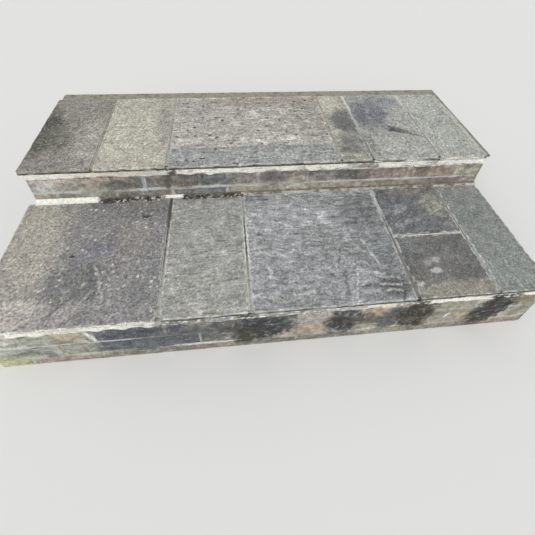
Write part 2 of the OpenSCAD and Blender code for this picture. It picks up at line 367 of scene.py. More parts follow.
class Nodes:
    """The node tree of a material or a world, with a short way to add nodes."""

    def __init__(self, owner):
        owner.use_nodes = True
        self.tree = owner.node_tree

    def feed(self, node, inputs):
        """Gives each input of a node its value, or the socket that it follows."""
        for key, value in dict(inputs).items():
            if isinstance(value, bpy.types.NodeSocket):
                self.tree.links.new(value, node.inputs[key])
            else:
                node.inputs[key].default_value = value

    def add(self, kind, inputs=(), **settings):
        """Makes a node of a kind, with its inputs and its settings."""
        node = self.tree.nodes.new(kind)
        for key, value in settings.items():
            setattr(node, key, value)
        self.feed(node, inputs)
        return node

    def noise(self, size, detail, rough):
        """Noise whose waves are about size millimetres long."""
        place = self.add("ShaderNodeTexCoord").outputs["Object"]
        inputs = {"Vector": place, "Scale": 1000 / size, "Detail": detail, "Roughness": rough}
        return self.add("ShaderNodeTexNoise", inputs).outputs["Fac"]

    def ramp(self, value, start, end, low=0.0, high=1.0):
        """low up to start and high from end on, with an even rise between."""
        inputs = {"Value": value, "From Min": start, "From Max": end, "To Min": low, "To Max": high}
        return self.add("ShaderNodeMapRange", inputs).outputs["Result"]

    def maths(self, operation, *values):
        """The result of one operation on numbers or sockets."""
        return self.add("ShaderNodeMath", enumerate(values), operation=operation).outputs[0]

    def attribute(self, name, output):
        """What the mesh says at each point under that name."""
        return self.add("ShaderNodeAttribute", attribute_name=name).outputs[output]

    def scaled(self, colour, factor):
        """A colour multiplied by a factor."""
        return self.add("ShaderNodeVectorMath", {0: colour, "Scale": factor}, operation="SCALE").outputs[0]

    def mixed(self, amount, a, b):
        """Colour a moved towards colour b."""
        return self.add("ShaderNodeMix", {0: amount, 6: a, 7: b}, data_type="RGBA").outputs[2]

    def finish(self, colour, rough, height, depth):
        """Feeds the shader, with a bump of that depth in millimetres."""
        bump = self.add("ShaderNodeBump", {"Height": height, "Strength": 1.0, "Distance": depth / 1000})
        self.feed(self.tree.nodes["Principled BSDF"], {
            "Base Color": colour, "Roughness": rough, "Specular IOR Level": 0.3,
            "Normal": bump.outputs["Normal"],
        })


def grained(name, shades, covers, rough, depth):
    """A material whose tone is shaded by noise and covered in places by other colours.

    A shade is its noise, the range that counts, the tone's factors at its ends and its share of the
    relief. A cover is its colour, its strength and each noise and range that places it. The roughness
    follows the first shade.
    """
    material = bpy.data.materials.new(name)
    n = Nodes(material)
    colour, height = n.attribute("tone", "Color"), 0
    values = [n.noise(*shade[0]) for shade in shades]
    for value, (waves, start, end, low, high, share) in zip(values, shades):
        colour = n.scaled(colour, n.ramp(value, start, end, low, high))
        height = n.maths("MULTIPLY_ADD", value, share, height)
    for cover, strength, *places in covers:
        amount = strength
        for waves, start, end in places:
            amount = n.maths("MULTIPLY", n.ramp(n.noise(*waves), start, end), amount)
        colour = n.mixed(amount, colour, cover)
    # Holes are painted nearly black as far as the hollow attribute says: painted shade in them, with their
    # dirt
    colour = n.mixed(n.maths("MULTIPLY", n.attribute("hollow", "Fac"), 0.8), colour, PORE_AND_HOLE_SHADE)
    n.finish(colour, n.ramp(values[0], 0.3, 0.7, *rough), height, depth)
    return material


def stone_material(name, grain, contrast, speck):
    """Weathered sandstone with gritty grains, lichen specks and dark pores."""
    return grained(name, [
        ((grain * 0.35, 3, 0.7), 0.34, 0.66, 0.68, 1.34, 0.5),
        ((grain, 5, 0.78), 0.38, 0.62, 1 - contrast, 1 + contrast, 1.4),
        ((grain * 6, 5, 0.65), 0.35, 0.65, 0.86, 1.14, 0),
    ], [
        (TAN, 0.2, ((31, 4, 0.6), 0.5, 0.72)),
        (LICHEN, 0.8, ((grain * 1.3, 2, 0.5), 0.67 - 0.045 * speck, 0.70), ((70, 3, 0.6), 0.38, 0.6)),
        (PORE_AND_HOLE_SHADE, 0.4, ((grain * 1.3, 2, 0.55), 0.36, 0.31)),
    ], (0.84, 0.98), 0.9)


def brick_material():
    """Sand-faced brick with bloom and pores."""
    return grained("weathered_brick", [
        ((5, 5, 0.78), 0.34, 0.66, 0.6, 1.42, 1),
        ((24, 5, 0.68), 0.34, 0.66, 0.62, 1.4, 1.2),
    ], [
        (PALE_CRUST, 0.55, ((30, 6, 0.8), 0.54, 0.68)),
        (PORE_AND_HOLE_SHADE, 0.5, ((7, 3, 0.6), 0.37, 0.3)),
    ], (0.8, 0.97), 0.9)


def mortar_material(name, dirt):
    """Lime mortar with sand grains, lumps and dirt in its hollows."""
    return grained(name, [
        ((4, 4, 0.8), 0.34, 0.66, 0.82, 1.14, 1),
        ((11, 4, 0.65), 0.34, 0.66, 0.86, 1.1, 2),
    ], [(BROWN_DIRT, dirt, ((8, 5, 0.7), 0.47, 0.38))], (0.85, 0.98), 1.0)


def fill_material():
    """Rubble and lean concrete behind the bricks."""
    material = bpy.data.materials.new("fill_rubble")
    n = Nodes(material)
    lumps = n.noise(28, 4, 0.6)
    fine = n.noise(3, 3, 0.7)
    colour = n.mixed(n.ramp(lumps, 0.35, 0.65), FILL_DARK, FILL_PALE)
    colour = n.scaled(colour, n.ramp(fine, 0.3, 0.7, 0.8, 1.15))
    n.finish(colour, n.ramp(fine, 0.3, 0.7, 0.85, 0.97), lumps, 2.0)
    return material


# Looks: a material and the name of a slot
BRICK = (brick_material(), "brick")
CREAM_MORTAR = (mortar_material("cream_mortar", 0.3), "mortar")
JOINT_MORTAR = (mortar_material("joint_mortar", 0.7), "mortar")
SOILED_MORTAR = (mortar_material("soiled_mortar", 0.8), "weathered_mortar")


# Flags

# What each flag has unless its own finish says otherwise:
# grain and contrast are the size and the strength of the stone's grain,
# smear is how far mortar covers the sides, and lime how much of the edge is limed,
# chips are how many pale spots are painted on it and how large, and dirt is how many dark ones are,
# mottle is how strong the patches and the grit are, and front is where a band along the front ends,
# and its colour.
COMMON = dict(grain=6, contrast=0.38, smear=0.25, lime=0.6, chips=(0.15, 4), dirt=0, mottle=1, front=None,
              lines=(), holes=())

# Each flag's own finish:
# tone is its colour before the stains are laid on,
# ripple is the ripples' length, width, turn and depth, and terraces are how many and how deep,
# streak is how far the relief changes the tone: dirt darkens the troughs, painted shadow darkens the terrace
# lips, and worn ridges are lighter with a painted highlight,
# pits is how deep the pitting goes, and speck how much lichen there is,
# lines are (points, width, colour, depth), and holes are (centre, radius, depth).
FLAGS = {}
FLAGS["lower_flag_1"] = dict(
    tone=(0.265, 0.26, 0.26), ripple=(46, 30, 35, 1.4), terraces=(3, 1.0), streak=0.1, pits=0.9, speck=1.6,
    grain=8, contrast=0.42, smear=0.8, lime=0.3, chips=(0.7, 8),
    stains=[
        (-880, -230, 110, 270, (0.45, 0.42, 0.365), 0.9, 8), (-860, -90, 130, 60, (0.38, 0.37, 0.31), 0.6),
        (-850, -520, 190, 62, (0.54, 0.5, 0.455), 0.9), (-760, -540, 90, 40, (0.4, 0.36, 0.35), 0.5),
        (-560, -75, 190, 55, (0.2, 0.2, 0.2), 0.75, -4), (-655, -290, 80, 40, (0.2, 0.2, 0.24), 0.7, 32),
        (-690, -430, 110, 85, (0.185, 0.19, 0.19), 0.8, 20), (-520, -250, 75, 110, (0.3, 0.275, 0.26), 0.6),
        (-455, -400, 50, 140, (0.23, 0.23, 0.24), 0.6), (-600, -540, 150, 32, (0.3, 0.29, 0.3), 0.6),
    ],
    lines=[
        # The pale lines and the dark lines beside them are painted highlight and painted shade on the two
        # sides of the crack ridges
        ([(-640, -350), (-622, -374), (-604, -439), (-583, -492)], 6.5, (0.5, 0.49, 0.48), 0.3),
        ([(-655, -340), (-644, -374), (-628, -430), (-614, -480)], 15, (0.14, 0.14, 0.145), 1.4),
        ([(-606, -425), (-628, -460), (-655, -500), (-690, -560)], 6, (0.43, 0.42, 0.41), 0.3),
        ([(-618, -405), (-650, -440), (-700, -490), (-745, -545)], 10, (0.15, 0.15, 0.155), 1.2),
        ([(-583, -400), (-568, -445), (-560, -500)], 6, (0.44, 0.43, 0.43), 0.3),
        ([(-472, -72), (-520, -118), (-575, -172), (-640, -240)], 16, (0.19, 0.185, 0.19), 0.6),
    ],
    # The holes are sunk, and the material paints them dark as shade
    holes=[((-492, -115), 19, 10), ((-724, -300), 12, 8)],
)
FLAGS["lower_flag_2"] = dict(
    tone=(0.37, 0.37, 0.35), ripple=(120, 11, 2, 1.3), terraces=(4, 0.7), streak=0.34, pits=0.15, speck=0.5,
    contrast=0.34, lime=0.9, smear=0,
    stains=[
        (-150, -34, 52, 15, (0.19, 0.19, 0.18), 0.85), (-330, -32, 60, 12, (0.22, 0.22, 0.205), 0.7),
        (-260, -180, 120, 90, (0.34, 0.35, 0.33), 0.6), (-300, -440, 110, 80, (0.36, 0.36, 0.335), 0.6),
        (-130, -300, 22, 240, (0.32, 0.325, 0.32), 0.6), (-260, -565, 130, 16, (0.44, 0.43, 0.39), 0.5),
    ],
)
FLAGS["lower_flag_3"] = dict(
    tone=(0.33, 0.34, 0.35), ripple=(95, 15, -4, 1.8), terraces=(5, 1.1), streak=0.46, pits=0.2, speck=0.5,
    lime=0.75, chips=(0.2, 4), smear=0,
    stains=[
        (70, -165, 240, 85, (0.4, 0.41, 0.42), 0.8, -3), (-60, -45, 60, 26, (0.24, 0.27, 0.27), 0.7),
        (390, -150, 110, 120, (0.185, 0.2, 0.2), 0.9), (400, -370, 90, 120, (0.2, 0.22, 0.22), 0.8),
        (240, -340, 110, 90, (0.26, 0.28, 0.27), 0.7), (-20, -390, 110, 100, (0.34, 0.35, 0.35), 0.6),
        (60, -545, 240, 36, (0.28, 0.28, 0.28), 0.6), (398, -524, 72, 46, (0.115, 0.12, 0.12), 0.9),
        (160, -255, 140, 40, (0.31, 0.325, 0.325), 0.7, 5),
    ],
    lines=[
        ([(279, -458), (262, -515), (245, -580)], 6, (0.62, 0.63, 0.62), 0.3),
        ([(245, -332), (232, -380), (218, -423)], 7, (0.15, 0.16, 0.165), 0.6),
        ([(345, -511), (380, -508), (420, -516)], 5, (0.62, 0.63, 0.62), 0.3),
        ([(350, -538), (385, -531), (415, -541)], 5, (0.56, 0.57, 0.56), 0.3),
        ([(372, -486), (392, -480), (425, -492)], 5, (0.56, 0.57, 0.56), 0.3),
        ([(-80, -345), (-30, -335), (20, -350), (70, -340)], 5, (0.62, 0.62, 0.62), 0.3),
        ([(193, -338), (188, -360), (184, -385)], 7, (0.15, 0.16, 0.165), 0.6),
        ([(237, -445), (230, -490), (226, -535)], 8, (0.16, 0.165, 0.17), 0.6),
        ([(436, -508), (424, -545), (408, -580)], 5, (0.06, 0.06, 0.06), 1.8),
        ([(337, -299), (352, -360), (372, -425)], 5.5, (0.62, 0.63, 0.63), 0.3),
    ],
)
FLAGS["lower_flag_4"] = dict(
    tone=(0.165, 0.17, 0.18), ripple=(60, 20, 28, 1.4), terraces=(4, 0.8), streak=0.36, pits=0.2, speck=0.6,
    contrast=0.4,
    stains=[
        (548, -150, 52, 20, (0.31, 0.31, 0.32), 0.75, 38), (590, -215, 75, 14, (0.28, 0.28, 0.29), 0.7, 22),
        (500, -250, 30, 22, (0.24, 0.25, 0.25), 0.6, 20), (705, -135, 52, 75, (0.32, 0.32, 0.28), 0.85),
        (630, -48, 120, 26, (0.24, 0.22, 0.2), 0.7), (720, -240, 40, 40, (0.23, 0.23, 0.22), 0.5),
    ],
)
FLAGS["lower_flag_5"] = dict(
    tone=(0.16, 0.16, 0.16), ripple=(80, 34, 0, 1.0), terraces=(3, 0.6), streak=0.14, pits=0.25, speck=0.4,
    stains=[
        (600, -440, 80, 60, (0.21, 0.205, 0.2), 0.7, 10), (515, -330, 55, 40, (0.2, 0.21, 0.22), 0.6),
        (610, -558, 240, 38, (0.32, 0.31, 0.26), 0.95, 1), (560, -505, 80, 18, (0.21, 0.21, 0.185), 0.5),
        (589, -421, 17, 13, (0.5, 0.5, 0.48), 0.9), (557, -433, 14, 12, (0.44, 0.44, 0.43), 0.9),
        (573, -470, 20, 14, (0.52, 0.52, 0.5), 0.9), (489, -521, 16, 13, (0.56, 0.56, 0.53), 0.95),
    ],
)
FLAGS["lower_flag_6"] = dict(
    tone=(0.24, 0.26, 0.25), ripple=(110, 26, 75, 0.9), terraces=(3, 0.5), streak=0.12, pits=0.15,
    speck=0.8, contrast=0.36, lime=0.9, chips=(0.25, 4),
    stains=[
        (860, -500, 110, 80, (0.29, 0.32, 0.3), 0.75), (900, -380, 50, 160, (0.28, 0.3, 0.28), 0.6),
        (830, -230, 70, 90, (0.22, 0.245, 0.23), 0.6), (860, -45, 100, 34, (0.28, 0.3, 0.275), 0.5),
    ],
    lines=[
        ([(859, -392), (853, -425), (850, -462)], 5, (0.4, 0.42, 0.395), 0.2),
        ([(797, -548), (781, -580)], 3, (0.36, 0.38, 0.36), 0.2),
    ],
)
FLAGS["upper_flag_1"] = dict(
    tone=(0.265, 0.255, 0.225), ripple=(60, 30, 20, 1.2), terraces=(3, 0.8), streak=0.14, lime=0.2,
    pits=0.4, speck=1.3, grain=7, chips=(0.25, 4), smear=0, dirt=0.12, mottle=1.9,
    stains=[
        # The two dark patches at the left end are painted shadow of plants
        (-925, 250, 64, 190, (0.085, 0.083, 0.075), 0.92), (-860, 190, 66, 90, (0.15, 0.15, 0.13), 0.75),
        (-728, 170, 66, 200, (0.39, 0.38, 0.335), 0.85), (-870, 20, 90, 44, (0.26, 0.245, 0.24), 0.7),
        (-800, 430, 120, 80, (0.29, 0.28, 0.25), 0.5),
    ],
)
FLAGS["upper_flag_2"] = dict(
    tone=(0.5, 0.49, 0.41), ripple=(60, 34, 60, 1.0), terraces=(3, 0.6), streak=0.12, lime=0.25, pits=0.3,
    speck=1.0, grain=7, contrast=0.36, smear=0, mottle=1.6,
    stains=[
        (-432, 290, 34, 230, (0.33, 0.32, 0.3), 0.85, 4), (-540, 455, 150, 62, (0.42, 0.41, 0.37), 0.6),
        (-540, -8, 150, 28, (0.47, 0.46, 0.4), 0.6), (-610, 180, 60, 120, (0.55, 0.535, 0.44), 0.6),
    ],
    lines=[([(-672, 262), (-600, 268), (-520, 262), (-462, 266)], 5, (0.34, 0.33, 0.29), 0.5)],
)
FLAGS["upper_flag_3"] = dict(
    tone=(0.45, 0.43, 0.4), ripple=(150, 16, 1, 1.6), terraces=(4, 0.9), streak=0.36, pits=0.3, speck=0.6,
    smear=-0.4, dirt=0.4, mottle=1.5,
    stains=[
        (-60, 145, 330, 36, (0.54, 0.52, 0.49), 0.7), (225, 280, 95, 150, (0.325, 0.31, 0.28), 0.7),
        (-300, 420, 110, 80, (0.4, 0.37, 0.35), 0.6), (60, 470, 330, 58, (0.335, 0.29, 0.25), 0.75),
        (-50, 300, 200, 60, (0.475, 0.45, 0.42), 0.5),
    ],
    lines=[
        # The dark line along the edge of a riven layer is painted shade there, with a shallow sink
        ([(-396, 92), (-250, 88), (-60, 95), (120, 90), (300, 92)], 8, (0.24, 0.25, 0.255), 0.9),
        ([(-10, 60), (-14, 10), (-20, -28)], 3.5, (0.47, 0.46, 0.43), 0.4),
    ],
    front=(90, (0.35, 0.36, 0.35)),
)
FLAGS["upper_flag_4"] = dict(
    tone=(0.345, 0.34, 0.3), ripple=(60, 18, 0, 1.3), terraces=(4, 0.8), streak=0.3, pits=0.2, speck=0.5,
    smear=-0.4,
    stains=[
        (340, 430, 70, 110, (0.55, 0.54, 0.44), 0.9), (318, 230, 20, 140, (0.42, 0.41, 0.355), 0.75),
        (392, 270, 66, 112, (0.14, 0.145, 0.15), 0.95), (385, 120, 60, 34, (0.18, 0.18, 0.18), 0.8),
        (365, 55, 60, 34, (0.175, 0.175, 0.17), 0.75), (380, -5, 60, 22, (0.355, 0.35, 0.28), 0.7),
    ],
)
FLAGS["upper_flag_5"] = dict(
    tone=(0.39, 0.39, 0.37), ripple=(70, 30, -18, 1.4), terraces=(4, 1.0), streak=0.14, pits=0.3, speck=0.8,
    chips=(0.25, 4), smear=0.45, mottle=1.8,
    stains=[
        (520, 330, 98, 150, (0.16, 0.17, 0.19), 0.95, -10), (610, 440, 110, 70, (0.24, 0.26, 0.27), 0.8),
        (660, 300, 60, 80, (0.36, 0.37, 0.355), 0.5), (610, 40, 140, 90, (0.42, 0.43, 0.4), 0.7),
        # The two near-black patches at the crevice are painted shadow in it
        (462, 90, 26, 90, (0.265, 0.27, 0.265), 0.7), (618, 195, 60, 24, (0.1, 0.1, 0.11), 0.9, -22),
        (672, 222, 60, 32, (0.42, 0.43, 0.41), 0.7, -15),
        (602, 186, 32, 11, (0.06, 0.065, 0.075), 0.9, -22),
    ],
    # The dark sunk line along the crevice is painted shadow as well
    lines=[([(576, 192), (612, 180), (650, 166), (718, 134)], 13, (0.1, 0.105, 0.115), 1.8)],
)
FLAGS["upper_flag_6"] = dict(
    tone=(0.43, 0.44, 0.41), ripple=(90, 26, 80, 0.9), terraces=(3, 0.5), streak=0.08, pits=0.2, speck=1.2,
    contrast=0.4, chips=(0.25, 4), smear=0.85, mottle=1.8,
    stains=[
        (850, 100, 90, 110, (0.4, 0.41, 0.38), 0.6), (790, 420, 80, 80, (0.46, 0.465, 0.435), 0.5),
        (905, 300, 24, 220, (0.37, 0.375, 0.34), 0.6),
    ],
)
# Dark tone of the flags' sides towards the underside: dirt, and painted shade under the lip
SIDE_DIRT_AND_SHADE = (0.07, 0.068, 0.052)
SMEAR = (0.80, 0.78, 0.69)
LIME = (0.68, 0.68, 0.64)
CHIP = (0.74, 0.73, 0.67)
DIRT = (0.055, 0.05, 0.045)


def worn_radius(along, seed):
    """The radius of the worn edge at each place along it, with a bigger bite at the chips."""
    plane = beside(along, seed * 13.7)
    radius = 2.2 + 1.1 * noise(plane, 42, seed) + 0.5 * noise(plane, 11, seed + 3)
    return np.clip(radius, 1.0, 6) + 5 * smooth(0.55, 0.9, noise(plane, 33, seed + 5))


def flag_relief(plane, finish, seed):
    """How far the riven top lies below its highest point, and the patterns that its tones follow."""
    length, width, turn, ripple_depth = finish["ripple"]
    steps, step_depth = finish["terraces"]
    lie = turned(plane + wander(plane, 110, 85, seed + 1) * (10, 14), turn)
    ripple = layers(lie, (length, width), seed + 3, 4)
    fine = layers(lie, (length / 3, width / 2.5), seed + 8, 3)
    swell = layers(plane, 230, seed + 4, 2)
    level = (0.5 + 0.35 * ripple + 0.4 * swell) * steps
    part = level - np.floor(level)
    terrace = (np.floor(level) + smooth(0.38, 0.62, part)) / steps
    # lip marks the edge of each terrace, where the tone gets painted shadow
    lip = np.exp(-(((part - 0.5) / 0.11) ** 2))
    ridge = 1 - 2.4 * np.abs(noise(lie, (length * 0.8, width * 1.5), seed + 14))
    worn = smooth(0.55, 0.92, ridge) * smooth(-0.1, 0.4, noise(plane, 45, seed + 15))
    veins = 1 - 3 * np.abs(noise(lie, (length * 0.5, width * 0.9), seed + 18))
    worn = np.maximum(worn, 0.8 * smooth(0.55, 0.9, veins) * smooth(0, 0.4, noise(plane, 28, seed + 19)))
    pitted = smooth(0.35, 0.8, noise(plane, 8.5, seed + 6)) * finish["pits"]
    depth = 1.0 - 0.8 * swell + ripple_depth * (0.5 - 0.5 * ripple) - 0.35 * worn
    depth += step_depth * (1 - terrace) + 0.9 * pitted + 0.3 * layers(plane, 9, seed + 7, 2)
    return np.clip(depth, 0, 5), (ripple, fine, lip, worn, pitted)


def flag_tones(plane, finish, patterns, seed):
    """The colour of the flag's top at each point."""
    ripple, fine, lip, worn, pitted = patterns
    tones = stained(plain(finish["tone"], plane), plane, finish["stains"], seed + 10)
    if finish["front"]:
        line, colour = finish["front"]
        edge = line + 5 * noise(plane, 60, seed + 21)
        tones = mix(tones, colour, smooth(edge + 5, edge - 5, plane[:, 1]))
    # Relief in the tone: ripple troughs darker with dirt, terrace lips darker as painted shadow, worn ridges
    # lighter as wear and painted highlight
    shade = np.clip(ripple, -1, 1) + 0.9 * np.clip(fine, -1, 1) - 0.6 * lip + 1.5 * worn
    mottle = 0.15 * layers(plane, 34, seed + 11, 3)
    mottle += 0.22 * noise(plane, 12, seed + 12) + 0.3 * noise(plane, 6.6, seed + 13)
    shade = 1 + finish["streak"] * shade + finish["mottle"] * mottle - 0.3 * pitted
    tones = tones * np.clip(shade, 0.3, 2)[:, None]
    many, size = finish["chips"]
    crowd = smooth(-0.5, 0.5, noise(plane, 90, seed + 17))
    tones = mix(tones, CHIP, 0.85 * crowd * scattered(plane, 28, size, many, seed + 16))
    crowd = smooth(-0.3, 0.4, noise(plane, (120, 70), seed + 45))
    return mix(tones, DIRT, 0.85 * crowd * scattered(plane, 32, 12, finish["dirt"], seed + 46))


def flag_outline(plane, inside, seed):
    """The flag's points with its corners knocked round, and with sides that wander in from their line."""
    moved = plane.copy()
    corners = 2.5 + 4 * lattice(np.arange(4)[:, None] + 10 * seed, seed)
    for corner, ends in zip(corners, itertools.product((0, 1), repeat=2)):
        arm = corner - inside[:, ends, (0, 1)]
        length = np.maximum(np.linalg.norm(arm, axis=1), 1e-9)
        shift = arm * (1 - arm.max(axis=1) / length)[:, None] * (1 - 2 * np.array(ends))
        moved += shift * (arm > 0).all(axis=1)[:, None]
    for side, axis in itertools.product((0, 1), repeat=2):
        along = beside(plane[:, 1 - axis], 50 * side + 7 * axis)
        bend = 0.5 + 0.5 * noise(along, 75, seed + side + 2 * axis) + 0.16 * noise(along, 13, seed + 9)
        fade = np.clip(1 - inside[:, side, axis] / EDGE_REACH, 0, 1)
        moved[:, axis] += (1 - 2 * side) * EDGE_WANDER * np.clip(bend, 0, 1.2) * fade
    return moved


def flag_top(plane, inside, height, finish, seed):
    """The points, tones and hollows of a flag's top: riven relief, cracks, holes and the worn edge."""
    moved = flag_outline(plane, inside, seed)
    depth, patterns = flag_relief(moved, finish, seed)
    tones = flag_tones(moved, finish, patterns, seed)
    hollow = np.zeros(len(moved))
    wavy = moved + 5 * wander(moved, 20, 20, seed + 31)
    broken = smooth(-0.6, 0.1, noise(moved, 13, seed + 34))
    # Lines are painted and sunk; some are painted highlight and painted shade along ridges and layer edges
    for line, width, colour, sink in finish["lines"]:
        amount = smooth(width, width * 0.3, line_distance(wavy, line)) * broken
        tones = mix(tones, colour, 0.85 * amount)
        depth = depth + sink * amount
    for centre, radius, sink in finish["holes"]:
        uneven = radius * (1 + 0.3 * noise(moved, 9, seed + 33))
        amount = smooth(uneven, uneven * 0.45, np.linalg.norm((moved - centre) * (1, 1.5), axis=1))
        depth = depth + sink * amount
        # hollow marks the holes, which the material paints dark as shade
        hollow = np.maximum(hollow, amount)
    across, along = inside.min(axis=1).T
    rim = np.minimum(across, along)
    radius = worn_radius(np.where(across < along, plane[:, 1], plane[:, 0]), seed + 40)
    drop = radius - np.sqrt(np.maximum(radius**2 - np.clip(radius - rim, 0, None) ** 2, 0))
    height = height - depth * (0.35 + 0.65 * smooth(0, 12, rim)) - drop
    limed = smooth(7, 3, rim) * smooth(-0.2, 0.4, noise(moved, 24, seed + 60))
    return np.column_stack([moved, height]), mix(tones, LIME, finish["lime"] * limed), hollow


def flag(name, seed):
    """One riven flag, made between the CAD flag's corners."""
    finish = {**COMMON, **FLAGS[name]}
    low, high = span(name)
    marks = [ticks(low[a], high[a], FLAG_STEP, EDGE_TICKS) for a in (0, 1)]
    plane = np.stack(np.meshgrid(*marks, indexing="ij"), axis=-1).reshape(-1, 2)
    inside = np.stack([plane - low[:2], high[:2] - plane], axis=1)
    top, tones, hollow = flag_top(plane, inside, high[2], finish, seed)
    grid = np.arange(len(top)).reshape(len(marks[0]), -1)

    # The sides: rough split faces down to the underside
    loop = rim_of(grid)
    flank = inside[loop] < 0.01
    inward = flank[:, 0] * 1.0 - flank[:, 1]
    points, tones = [top], [tones]
    for share in SIDE_ROWS:
        row = top[loop]
        row[:, 2] += (low[2] - row[:, 2]) * share
        push = 0.9 + 0.9 * noise(row, (16, 16, 7), seed + 50) + 0.5 * noise(row, (45, 45, 30), seed + 51)
        row[:, :2] += inward * np.clip(push, 0, 3)[:, None]
        points.append(row)
        shade = 1 + 0.35 * noise(row, (30, 30, 9), seed + 52)
        # Each side turns dark towards the underside: dirt, and painted shade under the flag's lip
        below = smooth(0.25, 0.6, share + 0.25 * noise(row, 40, seed + 53))
        side = mix(plain(np.array(finish["tone"]) * 1.2, row), SIDE_DIRT_AND_SHADE, below) * shade[:, None]
        reach = share - 1 + finish["smear"] + 0.5 * noise(row, 45, seed + 54)
        tones.append(mix(side, SMEAR, 0.9 * smooth(0, 0.2, reach)))
    points.append([np.append((low[:2] + high[:2]) / 2, low[2])])
    tones.append([SIDE_DIRT_AND_SHADE])
    points = np.concatenate(points)
    rows = np.arange(len(top), len(points) - 1).reshape(len(SIDE_ROWS), -1)
    faces = [quads(grid), quads(np.concatenate([[loop], rows]), 1), fan(rows[-1], len(points) - 1)[:, ::-1]]
    faces = [face for made in faces for face in made.tolist()]
    hollow = np.pad(hollow, (0, len(points) - len(top)))
    look = (stone_material(name + "_stone", finish["grain"], finish["contrast"], finish["speck"]), name)
    Form().add(points, faces, np.concatenate(tones), hollow).piece(name + "_riven", look, name)


# Brickwork


def front_bricks(length, first):
    """Start and end of each brick along a front or back course, from its right end."""
    bricks = [(0, first)]
    while length - bricks[-1][1] > BRICK_JOINT + BRICK_WIDTH / 2:
        start = bricks[-1][1] + BRICK_JOINT
        bricks.append((start, min(start + BRICK_LENGTH, length)))
    return bricks


def side_bricks(start, end):
    """Start and end of each brick along a side: as many whole ones as fit, with even joints."""
    room = end - start
    count = max(1, round((room - BRICK_JOINT) / (BRICK_LENGTH + BRICK_JOINT)))
    length = min(BRICK_LENGTH, (room - BRICK_JOINT) / count - BRICK_JOINT)
    gap = (room - count * length) / (count + 1)
    return [(start + gap + k * (length + gap), start + (k + 1) * (length + gap)) for k in range(count)]


# Tones of the bricks
BRICK_TONES = dict(
    grey_beige=(0.43, 0.42, 0.37), green_grey=(0.33, 0.34, 0.295), slate=(0.175, 0.185, 0.195),
    black_brown=(0.16, 0.157, 0.147), pink_beige=(0.43, 0.395, 0.36), orange_tan=(0.40, 0.33, 0.255),
    pale_pink=(0.44, 0.405, 0.37), olive=(0.36, 0.345, 0.265), red_brown=(0.33, 0.255, 0.22),
    dark_brown=(0.23, 0.22, 0.195), dull_red=(0.36, 0.275, 0.25), brown=(0.33, 0.30, 0.25),
)
# Front courses, each from its right end to its left end
LOWER_FRONT_TONES = (
    "red_brown brown olive brown dark_brown red_brown brown red_brown olive",
    "olive dull_red brown olive orange_tan dark_brown slate slate green_grey",
    "olive pale_pink orange_tan pink_beige black_brown dark_brown slate green_grey grey_beige",
)
UPPER_FRONT_TONES = (
    "dull_red brown brown olive olive slate dark_brown green_grey orange_tan",
    "olive red_brown dull_red dark_brown brown slate dark_brown brown green_grey",
)
UNSEEN_TONE = (0.33, 0.32, 0.28)
BLOOM = (0.66, 0.67, 0.64)
SOOT = (0.045, 0.045, 0.04)
SMEARS = (0.46, 0.45, 0.40)
CREAM = (0.95, 0.935, 0.85)
# Weather on all brickwork, as patchy takes it: colour, strength, start, end, size, seed and count
WEATHER = (
    (SOOT, 0.5, 0.1, 0.6, (120, 120, 50), 910, 4),
    (SMEARS, 0.5, 0.2, 0.5, (70, 70, 13), 915, 4),
    (BLOOM, 0.4, 0.4, 0.75, (16, 16, 120), 920, 3),
)

# Stains on the front of each riser, in X and Z
LOWER_FRONT_STAINS = [
    (-400, 110, 240, 85, (0.07, 0.075, 0.085), 0.72), (180, 110, 300, 60, (0.28, 0.27, 0.245), 0.5),
    (320, 45, 130, 6, BLOOM, 0.55), (580, 46, 150, 6, BLOOM, 0.6), (830, 121, 90, 6, BLOOM, 0.6),
    (850, 46, 90, 6, BLOOM, 0.5), (-66, 122, 114, 86, (0.035, 0.038, 0.045), 0.97),
    (-190, 150, 70, 45, (0.075, 0.078, 0.08), 0.75), (-130, 70, 46, 60, (0.06, 0.055, 0.042), 0.95),
    (222, 120, 68, 92, (0.03, 0.033, 0.04), 0.97), (105, 165, 62, 42, (0.38, 0.35, 0.32), 0.7),
    (110, 80, 60, 26, (0.4, 0.3, 0.21), 0.5), (350, 160, 30, 22, (0.4, 0.27, 0.18), 0.7),
    (304, 118, 58, 40, (0.12, 0.11, 0.085), 0.85), (396, 112, 50, 90, (0.085, 0.09, 0.093), 0.88, -18),
    (494, 120, 84, 94, (0.034, 0.032, 0.025), 0.97, 6), (470, 90, 56, 18, (0.14, 0.13, 0.09), 0.5),
    (640, 140, 82, 56, (0.3, 0.28, 0.225), 0.85), (640, 80, 110, 70, (0.33, 0.32, 0.265), 0.6),
    (690, 82, 42, 18, (0.42, 0.34, 0.17), 0.8), (790, 118, 70, 128, (0.03, 0.031, 0.031), 0.97, -33),
    (-520, 155, 105, 42, (0.075, 0.08, 0.09), 0.85), (-520, 85, 110, 30, (0.11, 0.12, 0.135), 0.75),
    (910, 168, 46, 30, (0.17, 0.145, 0.09), 0.8), (-925, 30, 90, 34, (0.5, 0.52, 0.29), 0.75),
    (-700, 165, 60, 24, (0.42, 0.33, 0.22), 0.6), (-722, 85, 7, 38, (0.5, 0.58, 0.48), 0.8, 12),
    (0, 10, 940, 24, (0.17, 0.155, 0.125), 0.55), (-880, 121, 60, 8, BLOOM, 0.9),
    (-628, 160, 8, 46, (0.82, 0.83, 0.79), 0.85, 18), (-560, 119, 90, 6, (0.62, 0.66, 0.72), 0.8),
    (-800, 119, 130, 6, (0.66, 0.7, 0.74), 0.6), (-690, 85, 76, 34, (0.33, 0.32, 0.26), 0.85),
    (-275, 46, 120, 7, (0.78, 0.79, 0.76), 0.9), (-283, 85, 4, 38, (0.45, 0.56, 0.52), 0.65),
    (-355, 168, 30, 22, (0.06, 0.07, 0.1), 0.7), (618, 98, 6, 20, (0.8, 0.81, 0.79), 0.9, -20),
]
